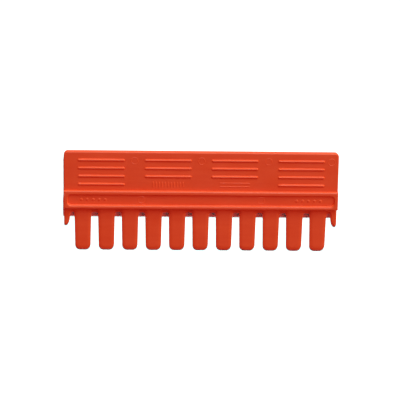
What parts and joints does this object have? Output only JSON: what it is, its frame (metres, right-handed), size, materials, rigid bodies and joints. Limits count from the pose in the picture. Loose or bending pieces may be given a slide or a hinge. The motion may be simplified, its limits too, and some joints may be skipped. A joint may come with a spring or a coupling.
{
  "type": "gel comb",
  "caption": "Flat moulded well-forming comb for a thin slab gel, with a ribbed grip, a ledge that stops on the glass plate, a row of thin teeth and a short tab at each end.",
  "frame": {"origin": "middle of the flat back face, halfway between the tooth tips and the top of the grip", "axes": "+X along the row of teeth to the right as seen from the front, +Y from the tooth tips up to the grip, +Z out of the front face; the comb lies on its back at Z = 0"},
  "size_m": [0.0826, 0.0302, 0.0036],
  "materials": {
    "comb_plastic": "injection-moulded orange-red plastic, satin gloss with fine moulding texture"
  },
  "bodies": {
    "root": {"blade_web": "comb_plastic", "end_tab_left": "comb_plastic", "end_tab_right": "comb_plastic", "grip_plate": "comb_plastic", "grip_rib_a1": "comb_plastic", "grip_rib_a2": "comb_plastic", "grip_rib_a3": "comb_plastic", "grip_rib_a4": "comb_plastic", "grip_rib_b1": "comb_plastic", "grip_rib_b2": "comb_plastic", "grip_rib_b3": "comb_plastic", "grip_rib_c1": "comb_plastic", "grip_rib_c2": "comb_plastic", "grip_rib_c3": "comb_plastic", "grip_rib_d1": "comb_plastic", "grip_rib_d2": "comb_plastic", "grip_rib_d3": "comb_plastic", "grip_rib_d4": "comb_plastic", "ledge_bar": "comb_plastic", "ledge_rim_left": "comb_plastic", "ledge_rim_lower": "comb_plastic", "ledge_rim_right": "comb_plastic", "ledge_rim_upper": "comb_plastic", "tooth_01": "comb_plastic", "tooth_02": "comb_plastic", "tooth_03": "comb_plastic", "tooth_04": "comb_plastic", "tooth_05": "comb_plastic", "tooth_06": "comb_plastic", "tooth_07": "comb_plastic", "tooth_08": "comb_plastic", "tooth_09": "comb_plastic", "tooth_10": "comb_plastic", "tooth_11": "comb_plastic"}
  },
  "joints": []
}
